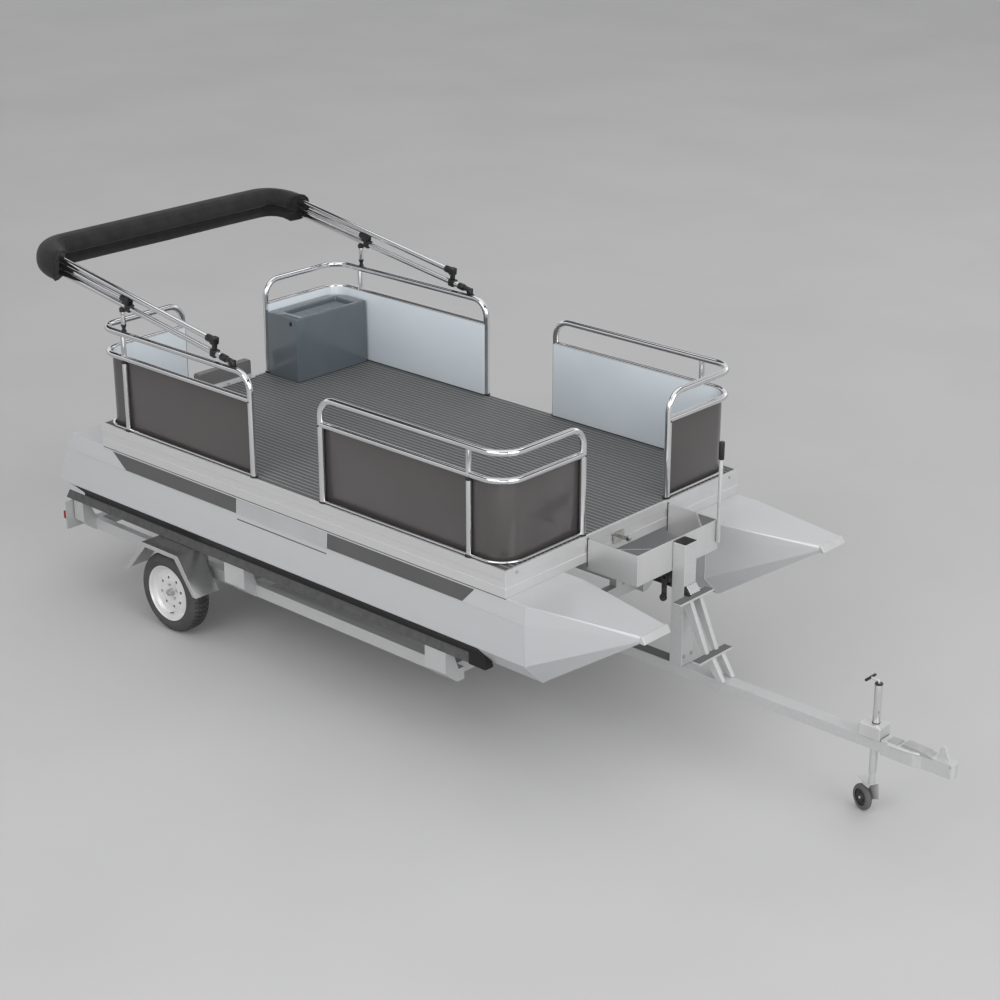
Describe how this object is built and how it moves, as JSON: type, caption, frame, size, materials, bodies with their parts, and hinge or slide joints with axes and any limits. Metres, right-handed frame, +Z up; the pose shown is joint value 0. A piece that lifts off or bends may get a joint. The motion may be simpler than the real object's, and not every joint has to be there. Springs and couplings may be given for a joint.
{
  "type": "pontoon boat",
  "caption": "Small aluminium pontoon boat with tube railings and a folded sun-shade frame, resting on the bunks of a single-axle road trailer with a jockey wheel.",
  "frame": {"origin": "on the ground under the middle of the whole part, boat and trailer together", "axes": "+X towards the bow and the trailer's coupling, +Y towards the port side, +Z up"},
  "size_m": [6.5526, 2.2938, 2.4212],
  "materials": {
    "pontoon_sheet": "satin sheet",
    "deck_extrusion": "satin extrusion",
    "ribbed_deck": "ribbed, non-slip",
    "polished_tube": "polished",
    "fence_sheet": "satin, dark outside and pale inside",
    "console_shell": "glossy",
    "motor_board": "semi-gloss paint",
    "bracket_plate": "satin plate",
    "black_nylon": "moulded",
    "shade_fabric": "woven, coated",
    "bunk_cover": "woven carpet over a board",
    "tyre": "matte rubber",
    "solid_rubber": "matte",
    "lamp_lens": "moulded lens",
    "winch_paint": "black paint",
    "rim_steel": "silver paint",
    "galvanised_steel": "hot-dip galvanised, dull"
  },
  "bodies": {
    "boat_and_trailer": {"axle": "galvanised_steel", "boarding_steps": "galvanised_steel", "bow_bracket": "bracket_plate", "bunk_port_inner": "bunk_cover", "bunk_port_outer": "bunk_cover", "bunk_starboard_inner": "bunk_cover", "bunk_starboard_outer": "bunk_cover", "console_box": "console_shell", "coupling": "galvanised_steel", "cross_beam_1": "galvanised_steel", "cross_beam_2": "galvanised_steel", "cross_beam_3": "galvanised_steel", "deck_floor": "ribbed_deck", "deck_frame": "deck_extrusion", "deck_underframe": "deck_extrusion", "drawbar": "galvanised_steel", "fence_panel_port_aft": "fence_sheet", "fence_panel_port_bow": "fence_sheet", "fence_panel_starboard_aft": "fence_sheet", "fence_panel_starboard_bow": "fence_sheet", "fence_rail_port_aft": "polished_tube", "fence_rail_port_bow": "polished_tube", "fence_rail_starboard_aft": "polished_tube", "fence_rail_starboard_bow": "polished_tube", "guide_pole": "galvanised_steel", "jockey_leg": "galvanised_steel", "motor_board": "motor_board", "motor_strip": "deck_extrusion", "mudguard_port": "galvanised_steel", "mudguard_starboard": "galvanised_steel", "pontoon_port": "pontoon_sheet", "pontoon_starboard": "pontoon_sheet", "shade_hinge_port": "black_nylon", "shade_hinge_starboard": "black_nylon", "shade_strut_port": "black_nylon", "shade_strut_starboard": "black_nylon", "side_rail_port": "galvanised_steel", "side_rail_starboard": "galvanised_steel", "tail_lamp_port": "lamp_lens", "tail_lamp_starboard": "lamp_lens", "winch": "winch_paint", "winch_post": "galvanised_steel"},
    "wheel_starboard": {"tyre_starboard": "tyre", "wheel_rim_starboard": "rim_steel"},
    "wheel_port": {"tyre_port": "tyre", "wheel_rim_port": "rim_steel"},
    "jockey_swivel": {"jockey_fork": "galvanised_steel"},
    "jockey_roller": {"jockey_wheel": "solid_rubber"},
    "shade_frame": {"shade_cover": "shade_fabric", "shade_main_bow_port": "polished_tube", "shade_main_bow_starboard": "polished_tube", "shade_second_bow_port": "polished_tube", "shade_second_bow_starboard": "polished_tube", "shade_third_bow_port": "polished_tube", "shade_third_bow_starboard": "polished_tube"}
  },
  "joints": [
    {"name": "wheel_starboard_spin", "type": "hinge", "parent": "boat_and_trailer", "child": "wheel_starboard", "pos_m": [-1.95808, -1.04, 0.273], "axis": [0, 1, 0], "continuous": true},
    {"name": "wheel_port_spin", "type": "hinge", "parent": "boat_and_trailer", "child": "wheel_port", "pos_m": [-1.95808, 1.04, 0.273], "axis": [0, 1, 0], "continuous": true},
    {"name": "jockey_turn", "type": "hinge", "parent": "boat_and_trailer", "child": "jockey_swivel", "pos_m": [2.76492, 0, 0.19], "axis": [0, 0, 1], "continuous": true},
    {"name": "jockey_roll", "type": "hinge", "parent": "jockey_swivel", "child": "jockey_roller", "pos_m": [2.69538, 0.0281, 0.076], "axis": [0.3746, 0.9272, 0], "continuous": true},
    {"name": "shade_lift", "type": "hinge", "parent": "boat_and_trailer", "child": "shade_frame", "pos_m": [-1.26108, 0, 2.005], "axis": [0, 1, 0], "range_deg": [0, 100]}
  ]
}
